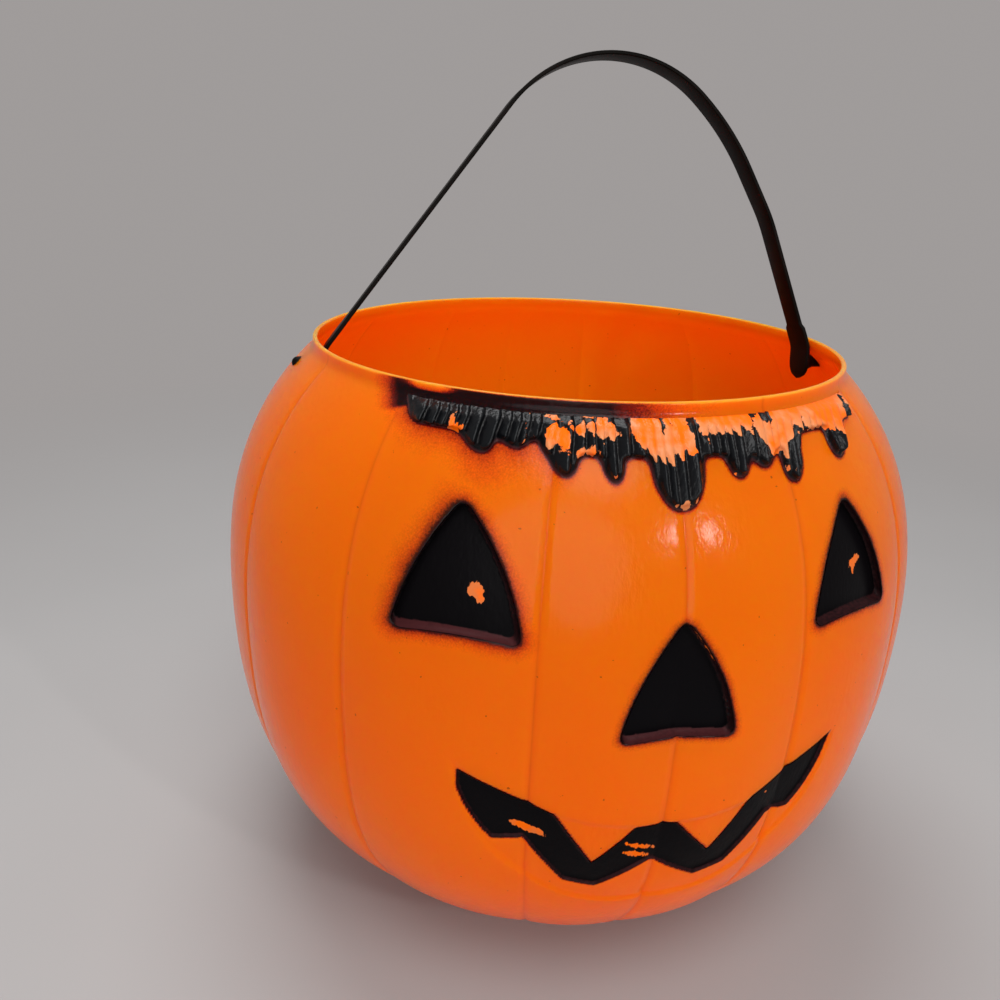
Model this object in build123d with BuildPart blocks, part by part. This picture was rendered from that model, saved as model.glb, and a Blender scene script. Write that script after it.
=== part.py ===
"""Pumpkin candy pail: a blow-moulded shell with a recessed jack-o'-lantern face and a swinging strap.

The frame has +Z up and its origin at the middle of the base. The face looks along -Y.
"""

import os
from math import atan2, cos, pi, radians, sin, tan

from build123d import *

# Shell profile: radius and height of the points that its outline passes through
base_radius = 53.0
haunch_radius = 80.0
haunch_height = 19.5
flank_radius = 99.3
flank_height = 47.0
belly_radius = 108.0
belly_height = 94.0
shoulder_radius = 101.1
shoulder_height = 145.0
neck_radius = 80.9
rim_height = 177.0
neck_height = 3.0
base_flare = 33.0
shoulder_pitch = 39.0

# Shell wall and base
wall = 1.5
lip_rounding = 0.5
dish_radius = 42.0
dish_depth = 3.0
dish_draft = 30.0

# Lobes: angles of the creases on one side of the face, and how deep they are at the belly
crease_angles = (18.6, 46.5, 72.6)
crease_depth = 1.3
crease_end_depth = 0.05
section_count = 11

# Eyes, in front view: one triangle with curved sides, mirrored about the middle of the eyes
eye_shift = -1.05
eye_apex_x = 47.6
eye_apex_z = 155.9
eye_inner_x = 36.9
eye_inner_z = 124.2
eye_outer_x = 65.5
eye_outer_z = 123.4
eye_inner_bulge = 2.4
eye_outer_bulge = 2.6
eye_base_rise = 1.8
eye_rounding = 3.0

# Nose, in front view
nose_apex_z = 133.0
nose_base_z = 101.6
nose_half_width = 15.0
nose_side_bulge = 2.7
nose_base_rise = 1.2
nose_rounding = 3.0

# Mouth, in front view: a crescent lip round a zigzag opening with two upper teeth
mouth_shift = -1.8
mouth_corner_x = 50.0
mouth_corner_z = 91.6
lip_top_z = 76.0
lip_bottom_z = 46.4
tooth_tip_x = 15.4
tooth_tip_z = 64.4
tooth_outer_x = 25.6
tooth_outer_z = 80.4
tooth_inner_x = 5.4
cheek_x = 40.0
cheek_z = 69.8
cheek_bulge = 1.8
cheek_notch_x = 32.6
cheek_notch_z = 70.8
chin_outer_x = 21.9
chin_outer_z = 56.6
chin_inner_x = 13.4
chin_inner_z = 54.2
chin_notch_z = 62.8
mouth_rounding = 0.6

# Depths of the moulded face below the lobes, and height of the fringe above them
recess_depth = 2.4
mouth_depth = 1.6
lip_depth = 0.9
fringe_relief = 2.2

# Fringe of dripping hair, in front view: a band under the neck that is deeper in its middle,
# and its drips as x, tip height and width
fringe_left_x = -59.2
fringe_right_x = 58.6
fringe_side_z = 168.4
fringe_middle_left_x = -31.0
fringe_middle_right_x = 35.0
fringe_middle_z = 165.9
fringe_neck_gap = 0.4
drip_roundness = 0.49
drips = (
    (-44.4, 164.8, 8.8),
    (-36.6, 166.4, 8.4),
    (-26.4, 161.8, 7.2),
    (-15.4, 161.1, 5.2),
    (-0.3, 155.4, 13.2),
    (15.4, 161.5, 7.0),
    (22.8, 163.0, 8.6),
    (31.2, 159.1, 6.8),
    (48.6, 161.8, 8.4),
)

# Paint coats on the face and the fringe
paint_thickness = 0.2
paint_gap = 0.05
paint_margin = 0.15

# Handle strap: its section, its lean at rest and the corners of its arch above the pivots
strap_thickness = 1.2
strap_width = 8.5
strap_lean = 8.4
arch_top_x = 5.4
arch_top_rise = 110.0
arch_side_x = 48.0
arch_side_rise = 70.2
arch_foot_x = 62.4
arch_foot_rise = 45.0
left_tab_bend_rise = 3.3
right_tab_bend_rise = 5.0
arch_top_rounding = 41.0
arch_side_rounding = 80.0
arch_foot_rounding = 60.0
tab_rounding = 9.0

# Handle tabs and the studs that swing in the shell's side holes
pivot_drop = 8.0
tab_width = 11.0
tab_rise = 11.5
tab_corner = 1.5
neck_clearance = 0.7
boss_radius = 3.6
boss_clearance = 0.5
stud_radius = 1.8
stud_clearance = 0.05
stud_proud = 1.4

# Values worked out from the sizes above
neck_bottom = rim_height - neck_height
pivot_height = rim_height - pivot_drop
reach = 2 * belly_radius
front = Plane.XZ


# Shell profile in the X-Z half plane, from the base edge up to just inside the foot of the neck
with BuildLine(front) as profile:
    Spline(
        (base_radius, 0),
        (haunch_radius, haunch_height),
        (flank_radius, flank_height),
        (belly_radius, belly_height),
        (shoulder_radius, shoulder_height),
        (neck_radius - wall, neck_bottom + wall * tan(radians(shoulder_pitch))),
        tangents=(
            (cos(radians(base_flare)), sin(radians(base_flare))),
            (-cos(radians(shoulder_pitch)), sin(radians(shoulder_pitch))),
        ),
    )
profile_edge = profile.edge()


def outline_point(share, inset):
    """Radius and height of the profile at a share of its length, inset square to its surface."""
    point = profile_edge @ share
    along = profile_edge % share
    if share == 0:
        return point.X - inset * tan(atan2(along.Z, along.X) / 2), inset
    return point.X - inset * along.Z, point.Z + inset * along.X


def wall_radius(height, inset=0.0):
    """Radius of the profile, inset square to its surface, at a height."""
    low = 0.0
    high = 1.0
    for _ in range(40):
        middle = (low + high) / 2
        if outline_point(middle, inset)[1] < height:
            low = middle
        else:
            high = middle
    return outline_point(low, inset)[0]


def around(radius, angle):
    """Point on a horizontal ring, at an angle from the front."""
    return radius * sin(radians(angle)), -radius * cos(radians(angle))


# Creases run round from the middle of the face, and the back mirrors the front
side_creases = (0,) + crease_angles + tuple(180 - angle for angle in reversed(crease_angles))
creases = side_creases + tuple(180 + angle for angle in side_creases)


def lobed_form(inset):
    """Closed pumpkin form of bulging lobes, inset square to the shell's outer surface.

    Its sections stand closer together toward the base and the neck, where the profile turns fastest.
    """
    with BuildPart() as form:
        for index in range(section_count):
            step = index / (section_count - 1)
            share = (step + (1 - cos(pi * step)) / 2) / 2
            radius, height = outline_point(share, inset)
            groove = crease_end_depth + (crease_depth - crease_end_depth) * sin(pi * share)
            with BuildSketch(Plane.XY.offset(height)):
                with BuildLine():
                    for start, end in zip(creases, creases[1:] + (360,)):
                        ThreePointArc(
                            around(radius - groove, start),
                            around(radius, (start + end) / 2),
                            around(radius - groove, end),
                        )
                make_face()
        loft()
    return form.part


# Face outlines in front view: each is drawn sharp and shrunk by the rounding that its corners grow back with
with BuildSketch(front) as eye:
    with BuildLine():
        SagittaArc((eye_apex_x, eye_apex_z), (eye_inner_x, eye_inner_z), -eye_inner_bulge)
        SagittaArc((eye_inner_x, eye_inner_z), (eye_outer_x, eye_outer_z), eye_base_rise)
        SagittaArc((eye_outer_x, eye_outer_z), (eye_apex_x, eye_apex_z), -eye_outer_bulge)
    make_face()
    offset(amount=-eye_rounding, mode=Mode.REPLACE)

with BuildSketch(front) as right_eye:
    with Locations((eye_shift, 0)):
        add(eye.sketch_local)

with BuildSketch(front) as left_eye:
    with Locations((eye_shift, 0)):
        add(mirror(eye.sketch_local, about=Plane.YZ, mode=Mode.PRIVATE))

with BuildSketch(front) as nose:
    with BuildLine():
        SagittaArc((0, nose_apex_z), (-nose_half_width, nose_base_z), -nose_side_bulge)
        SagittaArc((-nose_half_width, nose_base_z), (nose_half_width, nose_base_z), nose_base_rise)
        SagittaArc((nose_half_width, nose_base_z), (0, nose_apex_z), -nose_side_bulge)
    make_face()
    offset(amount=-nose_rounding, mode=Mode.REPLACE)

with BuildSketch(front) as lip:
    with BuildLine():
        ThreePointArc(
            (mouth_shift - mouth_corner_x, mouth_corner_z),
            (mouth_shift, lip_top_z),
            (mouth_shift + mouth_corner_x, mouth_corner_z),
        )
        ThreePointArc(
            (mouth_shift - mouth_corner_x, mouth_corner_z),
            (mouth_shift, lip_bottom_z),
            (mouth_shift + mouth_corner_x, mouth_corner_z),
        )
    make_face()

with BuildSketch(front) as zigzag:
    with BuildLine():
        Polyline(
            (0, lip_top_z),
            (tooth_inner_x, lip_top_z),
            (tooth_tip_x, tooth_tip_z),
            (tooth_outer_x, tooth_outer_z),
            (mouth_corner_x, mouth_corner_z),
        )
        SagittaArc((mouth_corner_x, mouth_corner_z), (cheek_x, cheek_z), cheek_bulge)
        Polyline(
            (cheek_x, cheek_z),
            (cheek_notch_x, cheek_notch_z),
            (chin_outer_x, chin_outer_z),
            (chin_inner_x, chin_inner_z),
            (0, chin_notch_z),
        )
        mirror(about=Plane.YZ)
    make_face()
    offset(amount=-mouth_rounding, mode=Mode.REPLACE)

with BuildSketch(front) as mouth:
    with Locations((mouth_shift, 0)):
        add(zigzag.sketch_local)

fringe_top_z = neck_bottom - fringe_neck_gap
with BuildSketch(front) as fringe:
    with BuildLine():
        Polyline(
            (fringe_left_x, fringe_top_z),
            (fringe_right_x, fringe_top_z),
            (fringe_right_x, fringe_side_z),
            (fringe_middle_right_x, fringe_side_z),
            (fringe_middle_right_x, fringe_middle_z),
            (fringe_middle_left_x, fringe_middle_z),
            (fringe_middle_left_x, fringe_side_z),
            (fringe_left_x, fringe_side_z),
            close=True,
        )
    make_face()
    for drip_x, tip_z, drip_width in drips:
        with Locations((drip_x, (fringe_top_z + tip_z) / 2)):
            drip_length = fringe_top_z - tip_z
            RectangleRounded(drip_width, drip_length, min(drip_width, drip_length) * drip_roundness)


def front_prism(outlines, grow=0.0):
    """Bars that stand out in front of the face along outlines, grown past their own rounding."""
    with BuildPart() as prism:
        for outline, rounding in outlines:
            with BuildSketch(front):
                add(outline.sketch_local)
                if rounding + grow:
                    offset(amount=rounding + grow, mode=Mode.REPLACE)
            extrude(amount=reach)
    return prism.part


def layer(outlines, grow, inner_inset, outer_inset=None):
    """Bars along grown outlines, from one inset form out to another or to open air."""
    bars = front_prism(outlines, grow)
    inner_form = lobed_form(inner_inset)
    outer_form = None if outer_inset is None else lobed_form(outer_inset)
    with BuildPart() as part_layer:
        add(bars)
        if outer_form is not None:
            add(outer_form, mode=Mode.INTERSECT)
        add(inner_form, mode=Mode.SUBTRACT)
    return part_layer.part


# Hollow inside of the pail: the wall follows the lobes and stands in behind each recess
deep_features = (
    (right_eye, eye_rounding),
    (left_eye, eye_rounding),
    (nose, nose_rounding),
)
mouth_feature = (mouth, mouth_rounding)
lip_feature = (lip, 0)
inside_form = lobed_form(wall)
lip_backing = layer((lip_feature,), wall, lip_depth + wall)
mouth_backing = layer((mouth_feature,), wall, mouth_depth + wall)
deep_backing = layer(deep_features, wall, recess_depth + wall)
with BuildPart() as hollow:
    add(inside_form)
    add(lip_backing, mode=Mode.SUBTRACT)
    add(mouth_backing, mode=Mode.SUBTRACT)
    add(deep_backing, mode=Mode.SUBTRACT)
    with BuildSketch(Plane.XY.offset(neck_bottom - neck_height)):
        Circle(neck_radius - wall)
    extrude(amount=3 * neck_height)
    with BuildSketch(Plane.XY):
        Circle(dish_radius + wall)
    extrude(amount=dish_depth + wall, taper=dish_draft, mode=Mode.SUBTRACT)

# Raised fringe of hair, rooted inside the shell's wall
fringe_block = layer(((fringe, 0),), 0, wall / 2, -fringe_relief)

# Shell
outside_form = lobed_form(0)
lip_cut = layer((lip_feature,), 0, lip_depth)
mouth_cut = layer((mouth_feature,), 0, mouth_depth)
deep_cut = layer(deep_features, 0, recess_depth)
with BuildPart() as pail_shell:
    add(outside_form)
    with BuildSketch(Plane.XY.offset(neck_bottom - neck_height)):
        Circle(neck_radius)
    extrude(amount=2 * neck_height)
    add(fringe_block)
    add(lip_cut, mode=Mode.SUBTRACT)
    add(mouth_cut, mode=Mode.SUBTRACT)
    add(deep_cut, mode=Mode.SUBTRACT)
    with BuildSketch(Plane.XY):
        Circle(dish_radius)
    extrude(amount=dish_depth, taper=dish_draft, mode=Mode.SUBTRACT)
    add(hollow.part, mode=Mode.SUBTRACT)
    with BuildSketch(Plane.YZ):
        with Locations((0, pivot_height)):
            Circle(stud_radius + stud_clearance)
    extrude(amount=reach, both=True, mode=Mode.SUBTRACT)
    fillet(pail_shell.edges().group_by(Axis.Z)[-1], lip_rounding)
pail_shell.part.label = "pail_shell"

# Paint coats: thin skins on the floors of the recesses and over the fringe
coats = []
coat_names = ("right_eye_paint", "left_eye_paint", "nose_paint", "mouth_paint")
coat_depths = (recess_depth, recess_depth, recess_depth, mouth_depth)
for coat_name, feature, depth in zip(coat_names, (*deep_features, mouth_feature), coat_depths):
    coat_inset = depth - paint_gap
    coat = layer((feature,), -paint_margin, coat_inset, coat_inset - paint_thickness)
    coat.label = coat_name
    coats.append(coat)
coat_rise = fringe_relief + paint_gap
hair_paint = layer(((fringe, 0),), -paint_margin, -coat_rise, -coat_rise - paint_thickness)
hair_paint.label = "hair_paint"
coats.append(hair_paint)

# Handle: a flat strap on an arched route in a plane that leans back about the pivots
strap_plane = Plane(
    origin=(0, 0, pivot_height),
    x_dir=(1, 0, 0),
    z_dir=(0, -cos(radians(strap_lean)), sin(radians(strap_lean))),
)
tab_plane = Plane(origin=strap_plane.origin, x_dir=strap_plane.z_dir, z_dir=(-1, 0, 0))
tab_outer_x = neck_radius - wall - neck_clearance
tab_x = tab_outer_x - strap_thickness / 2
with BuildSketch(strap_plane) as strap_route:
    with BuildLine() as route:
        FilletPolyline(
            (-tab_x, -tab_width / 2),
            (-tab_x, left_tab_bend_rise),
            (arch_top_x, arch_top_rise),
            (arch_side_x, arch_side_rise),
            (arch_foot_x, arch_foot_rise),
            (tab_x, right_tab_bend_rise),
            (tab_x, -tab_width / 2),
            radius=(
                tab_rounding,
                arch_top_rounding,
                arch_side_rounding,
                arch_foot_rounding,
                tab_rounding,
            ),
        )
    trace(line_width=strap_thickness)

with BuildPart() as tabs:
    with BuildSketch(strap_plane):
        add(strap_route.sketch_local)
    extrude(amount=tab_width / 2, both=True)
    with BuildSketch(tab_plane):
        Circle(tab_width / 2)
        with Locations((0, tab_rise / 2)):
            Rectangle(tab_width, tab_rise)
    extrude(amount=neck_radius, both=True, mode=Mode.INTERSECT)
    fillet(tabs.edges().filter_by(Axis.X).group_by(Axis.Z)[-1], tab_corner)

# Stud profile, from the tab out through the shell's side hole to a dome just proud of the shoulder
boss_end_x = wall_radius(pivot_height + stud_radius, wall) - boss_clearance
dome_x = wall_radius(pivot_height) + stud_proud - stud_radius
with BuildPart() as handle_strap:
    with BuildSketch(strap_plane):
        add(strap_route.sketch_local)
    extrude(amount=strap_width / 2, both=True)
    add(tabs.part)
    with BuildSketch(strap_plane):
        with BuildLine():
            Polyline(
                (dome_x + stud_radius, 0),
                (tab_x, 0),
                (tab_x, boss_radius),
                (tab_outer_x, boss_radius),
                (boss_end_x, stud_radius),
                (dome_x, stud_radius),
            )
            ThreePointArc(
                (dome_x, stud_radius),
                (dome_x + stud_radius * sin(radians(45)), stud_radius * cos(radians(45))),
                (dome_x + stud_radius, 0),
            )
        make_face()
        mirror(about=Plane.YZ)
    revolve(axis=Axis(strap_plane.origin, (1, 0, 0)))
handle_strap.part.label = "handle_strap"

os.makedirs("parts", exist_ok=True)
for piece in (pail_shell.part, handle_strap.part, *coats):
    export_step(piece, f"parts/{piece.label}.step")
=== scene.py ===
"""Looks of the pumpkin candy pail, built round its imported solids.

Metres, +Z up, origin at the middle of the base, face along -Y. Shapes of the face are drawn in
front view, as x and z in millimetres.
"""

from math import acos, copysign, cos, pi, radians, sin, tan

import bpy
import numpy as np
from mathutils import Matrix, Vector
from mathutils.geometry import delaunay_2d_cdt


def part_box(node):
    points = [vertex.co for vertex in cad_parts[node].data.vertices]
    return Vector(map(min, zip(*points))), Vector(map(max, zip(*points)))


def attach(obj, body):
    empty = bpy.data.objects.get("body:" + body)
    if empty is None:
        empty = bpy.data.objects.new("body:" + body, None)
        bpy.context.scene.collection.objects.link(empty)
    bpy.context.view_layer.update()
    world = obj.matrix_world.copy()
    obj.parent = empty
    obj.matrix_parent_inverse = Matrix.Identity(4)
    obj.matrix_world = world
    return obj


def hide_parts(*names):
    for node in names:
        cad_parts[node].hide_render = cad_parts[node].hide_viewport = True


MM = 0.001

# Camera, found from the photograph's rim, outline and base
CAMERA_PLACE = (-0.0844, -0.2814, 0.2307)
CAMERA_FORWARD = (0.2032, 0.9144, -0.3500)
CAMERA_ROLL = 0.0448
CAMERA_LENS = 33.67
CAMERA_NEAR = 0.01
SENSOR = 36.0

# Shell section, in millimetres: radius and height of the points that its outline passes through
PROFILE = ((53.0, 0.0), (80.0, 19.5), (99.3, 47.0), (108.0, 94.0), (101.1, 145.0))
NECK_RADIUS = 80.9
NECK_BOTTOM = 174.0
RIM_HEIGHT = 177.0
BASE_FLARE = 33.0
SHOULDER_PITCH = 39.0
WALL = 1.5
LIP_ROUNDING = 0.65
LIP_FOOT = (1.2, 0.2)
NECK_FILLET = 1.6

# Dish under the base, with eased edges
DISH_RADIUS = 42.0
DISH_TOP_RADIUS = 40.3
DISH_DEPTH = 3.0
DISH_MIDDLE = 20.0
DISH_TOP_EASE = (0.6, 0.5)
DISH_FOOT_EASE = (0.5, 0.35)
BASE_EASE = 0.6
POLE_RADIUS = 0.4

# Lobes: azimuths of the creases from the front, and the shapes of creases and mould seam
CREASES = (18.6, 46.5, 72.6)
CREASE_DEPTH = 1.3
VALLEY_DEPTH = 0.5
VALLEY_WIDTH = 1.7
VALLEY_FADE = 0.35
SEAM_AZIMUTH = 90.0
SEAM_HEIGHT = 0.12
SEAM_WIDTH = 0.35

# Face in front view; the left eye is drawn mirrored
EYE_SHIFT = -1.05
LEFT_EYE = ((47.6, 155.9), (36.0, 123.9), (65.5, 123.4))
RIGHT_EYE = ((47.5, 154.3), (36.9, 124.2), (64.7, 123.6))
EYE_BULGES = (2.4, -1.8, 2.6)
NOSE = ((0.0, 132.3), (-15.0, 101.0), (15.0, 101.0))
NOSE_BULGES = (2.7, -1.2, 2.7)
CORNER_ROUNDING = 3.0
MOUTH_SHIFT = -1.8
MOUTH_TILT = 1.2
MOUTH_BLUNT = -50.3
MOUTH_CORNER = (50.0, 91.6)
LIP_TOP = 76.0
LIP_BOTTOM = 46.4
TEETH = ((5.4, 76.0), (15.4, 64.4), (25.6, 80.4))
CHEEK = (40.0, 69.8)
CHEEK_BULGE = 1.8
CHIN = ((32.6, 70.8), (21.9, 56.6), (13.4, 54.2))
CHIN_NOTCH = 62.8
RECESS_DEPTH = 2.4
MOUTH_DEPTH = 1.3
LIP_DEPTH = 0.6

# In front view: trim of the visible edges, half widths of a recess's wall and of the lip's edge, and
# how far the paint stands inside the wall
TRIM = 0.5
EDGE = 0.25
LIP_EDGE = 1.1
SKIN_INSET = 0.12

# Fringe of hair: a band that is deeper in its middle, and its drips as x, tip height and width
FRINGE_ENDS = (-59.2, 58.6)
FRINGE_SIDE = 168.4
FRINGE_MIDDLE = (-31.0, 35.0, 165.9)
FRINGE_TOP = 173.6
FRINGE_TOP_FADE = 1.3
DRIPS = (
    (-44.4, 164.8, 8.8), (-36.6, 166.4, 8.4), (-26.4, 161.8, 7.2),
    (-15.4, 161.1, 5.2), (-0.3, 155.4, 13.2), (15.4, 161.5, 7.0),
    (22.8, 163.0, 8.6), (31.2, 159.1, 6.8), (48.6, 161.8, 8.4),
)
FRINGE_ROUNDING = 2.0
DRIP_BLEND = 2.0
DRIP_TAPER = 1.5

# Fringe's pad: its height, soft edge and share along the top, and how far inside and under the
# paint the shell's own pad stays
HAIR_RELIEF = 1.7
PAD_EDGE = 1.5
PAD_TOP_SHARE = 0.35
PAD_INSET = 0.5
PAD_SINK = 0.8

# Strands of hair: their lean from place to place along x, curl, uneven spacing and profile
STRAND_RELIEF = 1.5
STRAND_SPACING = 2.6
STRAND_LEAN = ((-60.0, -30.0, -20.0, 8.0, 55.0), (0.8, 0.6, 0.2, 0.05, 0.2))
STRAND_CURL = 26.0
STRAND_WANDER = (0.3, 0.41, 1.3)
STRAND_CREST = 0.66
STRAND_PROFILE = 0.8
STRAND_EDGE = (-0.2, 1.1)
STRAND_TOP_SHARE = 0.5

# Wear: lower edge of the fringe's rubbed part, and rubbed patches, painted patches and chips in the
# face as x, z, half width, half height and tilt
RUBBED_EDGE = (
    (-11.0, 175.0), (-10.4, 169.6), (-6.8, 166.9), (-2.7, 166.3), (2.9, 167.4),
    (5.9, 169.6), (12.0, 170.8), (18.7, 171.4), (22.4, 169.1), (25.6, 164.2),
    (29.5, 164.8), (32.0, 169.7), (39.8, 169.0), (46.5, 167.5), (55.9, 168.6),
)
RUBBED_PATCHES = (
    (-49.8, 169.4, 1.2, 2.3), (-33.4, 170.0, 1.2, 2.7), (-28.0, 170.4, 3.5, 3.0),
    (-22.6, 167.3, 2.3, 1.0), (-16.0, 172.0, 4.4, 1.9), (-22.3, 171.6, 2.4, 0.8),
    (-14.9, 162.4, 0.9, 0.7), (-0.4, 156.9, 1.7, 0.8), (3.4, 157.9, 0.7, 1.1),
    (14.5, 162.4, 1.1, 0.7), (29.1, 162.3, 0.9, 0.8), (34.5, 162.2, 0.5, 2.2),
)
PAINTED_PATCHES = (
    (-11.8, 171.5, 1.2, 3.4), (-3.0, 173.4, 1.1, 0.9), (4.8, 169.9, 0.9, 2.4),
    (9.7, 168.9, 1.5, 2.0), (14.1, 168.8, 2.2, 2.3), (20.4, 168.8, 1.6, 3.0),
    (24.8, 173.2, 1.8, 0.9), (35.6, 169.8, 2.2, 1.4), (55.9, 171.0, 1.4, 1.6),
)
CHIPS = (
    (-46.7, 135.7, 1.9, 1.7, 20.0), (-45.9, 134.0, 1.0, 1.3, 10.0),
    (50.6, 136.6, 1.5, 0.9, 30.0), (52.9, 137.2, 1.0, 0.8, 0.0),
    (51.3, 136.2, 1.0, 2.2, -20.0), (-33.0, 73.3, 4.3, 1.2, -20.0),
    (-4.7, 68.0, 4.0, 0.8, -20.0), (-5.7, 65.4, 4.1, 0.9, -16.0),
    (29.1, 78.9, 0.7, 0.4, 30.0), (6.8, 123.2, 8.0, 0.4, -54.7),
    (-37.9, 132.8, 0.5, 2.2, 15.0),
)
RUBBED_SIDE = 0.8
RIDGE_WEAR = 1.2
RIDGE_WORN_FROM = 0.7
WORN_FLATNESS = 0.8
WORN = (-0.5, 1.5)

# Stray paint, its fades as place and width: the heavy part of the left eye's halo, a line along the
# fringe's edge, dust below it with more on the left, and a band above it that has lost a flake
HEAVY_LEFT = (-46.0, 8.0)
HEAVY_FOOT = (128.0, 12.0)
LINE = (0.9, 1.0)
DUST_START = 0.4
DUST_TOP = (173.0, 0.8)
DUST_LEFT = (-18.0, 24.0)
DUST = (0.16, 0.42)
DUST_REACH = (0.9, 2.6)
BAND_FOOT = ((-64.0, -56.0), (168.5, 171.5))
BAND_FOOT_FADE = 1.5
BAND_TOP = (177.1, 0.6)
BAND_LEFT = (-68.0, 8.0)
BAND_STRENGTH = ((-50.0, -14.0, -4.0, 4.0, 14.0, 30.0), (1.0, 0.95, 0.6, 0.22, 0.08, 0.0))
BAND_FLAKE = (-54.0, 176.2)
BAND_FLAKE_SIZE = (5.0, 0.9)
BAND_FLAKE_EDGE = 1.4

# Thickness of the face's paint as a share: where it is full on a floor, and what the walls have
FILM_START = 0.15
FILM_FADE = 0.5
FILM_STEP = 0.2
FILM_ON_WALLS = 0.65
FILM_THIN = (0.5, 0.3)
HAIR_FILM_FADE = 0.6

# Handle strap: its section, lean and route above the pivots
PIVOT_HEIGHT = 169.0
STRAP_THICKNESS = 1.2
STRAP_WIDTH = 8.5
STRAP_LEAN = 8.4
STRAP_EDGE = 0.35
TAB_X = 78.1
TAB_WIDTH = 11.0
TAB_RISE = 11.5
TAB_STEP = 1.5
TAB_TIP = 0.1
ROUTE = (
    (-TAB_X, -TAB_WIDTH / 2),
    (-TAB_X, 3.3),
    (5.4, 110.0),
    (48.0, 70.2),
    (62.4, 45.0),
    (TAB_X, 5.0),
    (TAB_X, -TAB_WIDTH / 2),
)
ROUTE_ROUNDINGS = (9.0, 41.0, 80.0, 60.0, 9.0)

# Studs: a flat boss on the tab, and a domed pin that tapers out of it
BOSS_RADIUS = 3.6
BOSS_EASE = (0.3, 0.2)
BOSS_RISE = 0.1
STUD_RADIUS = 1.8
STUD_SINK = 0.8
STUD_CORE = 0.3
STUD_FOOT = (3.4, 0.3)
STUD_STRAIGHT = 2.6

# Mesh spacing, in millimetres or degrees round the axis
FACE_STEP = 0.34
FACE_ROW = 0.5
FACE_REACH = 62.0
FACE_BOTTOM = 41.0
PLAIN_STEP = 1.5
PLAIN_ROW = 2.2
INSIDE_ROWS = 120
INSIDE_END = 1.0
CREASE_COLUMNS = (0.0, 0.17, 0.36, 0.6, 0.9)
CREASE_COLUMN_GAP = 0.2
LEAST_COLUMNS = 6
LEAST_FACING = 0.25
SNAP_REACH = 0.5
SKIN_STEP = 0.5
HAIR_STEP = 0.38
SKIN_LIFT = 0.07
SKIN_ROW = 0.87
SKIN_SLACK = 0.03
SKIN_TRIM = 0.02
SKIN_MERGE = 1e-4
HAIR_EDGE = (-0.3, 0.3)

# Values on the shell's points: the neck's rows that spray reaches, places up the section for the
# depth of creases, how narrow the painted shade along them is, and the rim's painted highlight
SPRAYED_NECK_ROWS = 10
FACE_SHARE = 0.6
MIDDLE_SHARE = 0.5
CREASE_SHADE_POWER = 4
RIM_HIGHLIGHT_DEPTH = 0.7
RIM_HIGHLIGHT_FADE = 0.5

# Colours
BLACK = (0.0, 0.0, 0.0)
WHITE = (1.0, 1.0, 1.0)
ORANGE = (0.9, 0.132, 0.001)
DEEP_ORANGE = (0.86, 0.112, 0.001)
# Painted highlight along the top of the lip
LIP_HIGHLIGHT_ORANGE = (0.9, 0.21, 0.02)
# Painted light: a brighter orange for the inside, as if lit through the wall
INSIDE_LIT_ORANGE = (0.92, 0.2, 0.003)
# Painted shade for the bottoms of the crease valleys
CREASE_SHADE_COLOUR = (0.5, 0.06, 0.002)
SPECK = (0.2, 0.03, 0.005)
PEACH = (0.64, 0.21, 0.075)
SCUFFED = (0.66, 0.16, 0.04)
DARK_RED = (0.16, 0.012, 0.004)
BROWN = (0.045, 0.009, 0.004)
PLUM = (0.05, 0.012, 0.013)
PAINT = (0.0025, 0.002, 0.0025)
# Painted highlight for the crests of the fringe's strands
HAIR_CREST_HIGHLIGHT = (0.004, 0.005, 0.006)
STRAP_DARK = (0.003, 0.0025, 0.002)
STRAP_LIGHT = (0.008, 0.006, 0.005)
FLOOR = (0.355, 0.345, 0.34)
FLOOR_LIGHT = (0.37, 0.36, 0.355)
BACKDROP = (0.35, 0.33, 0.325)
SKY = (0.9, 0.92, 0.95)

# Stage, in metres: the floor's size and gap, and where its fade into the backdrop starts and ends
FLOOR_RADIUS = 4.0
FLOOR_GAP = 0.0002
FLOOR_NEAR = 0.26
FLOOR_FAR = 0.7

# Lights: name, place, aim, width and height, and power
LIGHTS = (
    ("key", (0.38, -0.8, 0.52), (0.0, 0.0, 0.1), (0.04, 0.12), 1.5),
    ("fill", (-0.35, -1.15, 0.5), (0.0, 0.0, 0.05), (1.0, 1.0), 5.8),
    ("top", (-0.05, -0.6, 1.05), (0.0, 0.0, 0.1), (0.6, 0.6), 5.2),
    ("back", (-0.1, 0.25, 1.0), (0.0, 0.0, 0.1), (0.6, 0.6), 5.4),
)
SKY_STRENGTH = 0.45

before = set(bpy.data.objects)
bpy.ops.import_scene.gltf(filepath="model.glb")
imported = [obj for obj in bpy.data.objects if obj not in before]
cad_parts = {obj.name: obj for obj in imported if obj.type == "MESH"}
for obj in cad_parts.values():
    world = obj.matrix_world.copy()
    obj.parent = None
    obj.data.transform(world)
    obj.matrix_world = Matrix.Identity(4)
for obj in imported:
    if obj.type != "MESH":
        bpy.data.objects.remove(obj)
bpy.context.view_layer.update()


def smooth(value):
    """Smooth step from 0 to 1."""
    value = np.clip(value, 0.0, 1.0)
    return value * value * (3.0 - 2.0 * value)


def above(value, start, fade):
    """Share that grows from 0 at a start to 1 a fade further on."""
    return smooth((value - start) / fade)


def below(value, end, fade):
    """Share that falls from 1 to 0 at an end, over a fade before it."""
    return smooth((end - value) / fade)


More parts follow.
